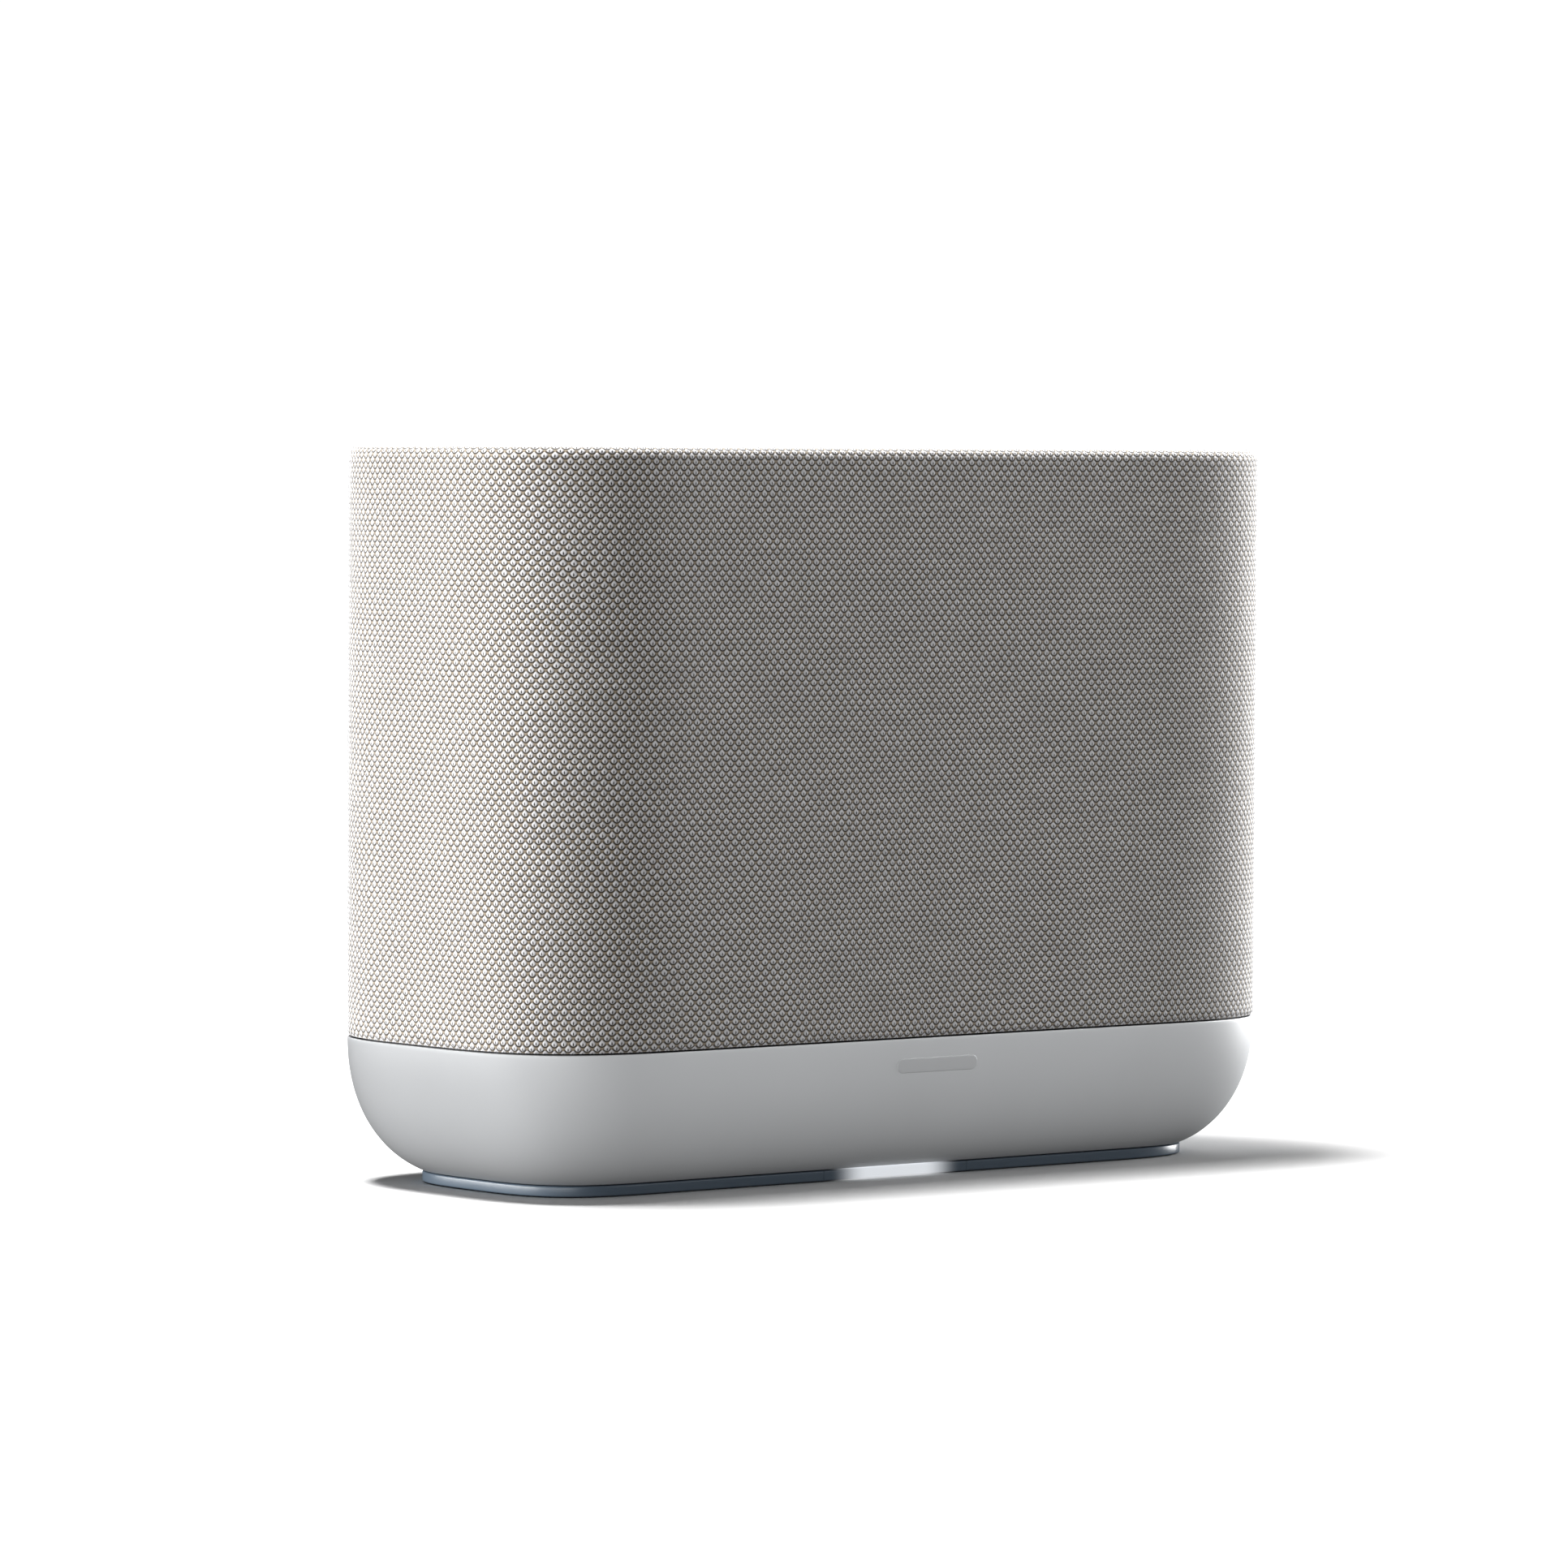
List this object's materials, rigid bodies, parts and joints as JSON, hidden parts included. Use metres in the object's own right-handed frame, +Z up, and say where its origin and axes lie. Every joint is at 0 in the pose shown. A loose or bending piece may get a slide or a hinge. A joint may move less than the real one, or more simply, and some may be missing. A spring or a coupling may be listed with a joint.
{
  "type": "tabletop smart speaker",
  "caption": "Wide, shallow tabletop speaker: rounded knit-covered cabinet on a smooth moulded bowl with a slim lit foot ring, touch lid and rear connector bay.",
  "frame": {"origin": "centre of the footprint, on the surface that the speaker stands on", "axes": "+X to the listener's right along the width, -Y out of the front grille, +Z up"},
  "size_m": [0.295, 0.12, 0.217],
  "materials": {
    "knit_fabric": "matt knitted polyester",
    "satin_shell": "fine moulded grain, satin",
    "slate_ring": "satin",
    "light_guide": "translucent, smooth",
    "dark_plastic": "matt",
    "black_plastic": "matt, fine spark texture",
    "rubber": "matt",
    "cone_paper": "pressed fibre",
    "silk": "coated silk",
    "spider_cloth": "resin-dipped cloth",
    "magnet_steel": "zinc plated plates and ferrite",
    "copper": "lacquered copper",
    "brass": "plated",
    "bright_steel": "bright",
    "aluminium": "extruded",
    "circuit_board": "solder mask",
    "winding_tape": "polyester tape"
  },
  "bodies": {
    "cabinet": {"fabric_cover": "knit_fabric", "grille_frame": "dark_plastic", "top_plate": "satin_shell", "touch_board": "circuit_board", "antenna_left": "brass", "antenna_right": "brass", "acoustic_box": "black_plastic", "front_baffle": "black_plastic", "deck_plate": "dark_plastic", "woofer_left_basket": "black_plastic", "woofer_left_motor": "magnet_steel", "woofer_left_surround": "rubber", "woofer_left_spider": "spider_cloth", "tweeter_left_faceplate": "dark_plastic", "tweeter_left_motor": "magnet_steel", "woofer_right_basket": "black_plastic", "woofer_right_motor": "magnet_steel", "woofer_right_surround": "rubber", "woofer_right_spider": "spider_cloth", "tweeter_right_faceplate": "dark_plastic", "tweeter_right_motor": "magnet_steel", "radiator_frame": "black_plastic", "radiator_surround": "rubber", "base_tub": "satin_shell", "badge_bar": "bright_steel", "foot_ring": "slate_ring", "light_guide": "light_guide", "base_plate": "dark_plastic", "foot_pad": "rubber", "base_screw_1": "bright_steel", "base_screw_2": "bright_steel", "base_screw_3": "bright_steel", "base_screw_4": "bright_steel", "status_led_board": "circuit_board", "jack_panel": "black_plastic", "ac_inlet": "black_plastic", "ac_pin_left": "brass", "ac_pin_right": "brass", "network_jack": "bright_steel", "usb_socket": "bright_steel", "aux_jack": "black_plastic", "io_board": "circuit_board", "power_board": "circuit_board", "main_board": "circuit_board", "heat_sink": "aluminium", "transformer": "winding_tape", "filter_capacitor": "dark_plastic", "wifi_shield": "bright_steel", "touch_cable": "copper"},
    "woofer_left_motion": {"woofer_left_cone": "cone_paper", "woofer_left_dust_cap": "silk", "woofer_left_voice_coil": "copper"},
    "woofer_right_motion": {"woofer_right_cone": "cone_paper", "woofer_right_dust_cap": "silk", "woofer_right_voice_coil": "copper"},
    "tweeter_left_motion": {"tweeter_left_dome": "silk"},
    "tweeter_right_motion": {"tweeter_right_dome": "silk"},
    "radiator_motion": {"radiator_plate": "cone_paper"},
    "connect_press": {"connect_button": "satin_shell"},
    "bluetooth_press": {"bluetooth_button": "satin_shell"}
  },
  "joints": [
    {"name": "woofer_left_travel", "type": "slide", "parent": "cabinet", "child": "woofer_left_motion", "axis": [0, -1, 0], "range_m": [-0.003, 0.003], "stiffness_N_per_m": 2200, "deforming": ["woofer_left_surround", "woofer_left_spider"]},
    {"name": "woofer_right_travel", "type": "slide", "parent": "cabinet", "child": "woofer_right_motion", "axis": [0, -1, 0], "range_m": [-0.003, 0.003], "stiffness_N_per_m": 2200, "deforming": ["woofer_right_surround", "woofer_right_spider"]},
    {"name": "tweeter_left_travel", "type": "slide", "parent": "cabinet", "child": "tweeter_left_motion", "axis": [0, -1, 0], "range_m": [-0.0003, 0.0003], "stiffness_N_per_m": 5000},
    {"name": "tweeter_right_travel", "type": "slide", "parent": "cabinet", "child": "tweeter_right_motion", "axis": [0, -1, 0], "range_m": [-0.0003, 0.0003], "stiffness_N_per_m": 5000},
    {"name": "radiator_travel", "type": "slide", "parent": "cabinet", "child": "radiator_motion", "axis": [0, 1, 0], "range_m": [-0.005, 0.005], "stiffness_N_per_m": 2000, "deforming": ["radiator_surround"]},
    {"name": "connect_button_press", "type": "slide", "parent": "cabinet", "child": "connect_press", "axis": [0, -1, 0], "range_m": [0, 0.0008], "stiffness_N_per_m": 900},
    {"name": "bluetooth_button_press", "type": "slide", "parent": "cabinet", "child": "bluetooth_press", "axis": [0, -1, 0], "range_m": [0, 0.0008], "stiffness_N_per_m": 900}
  ]
}
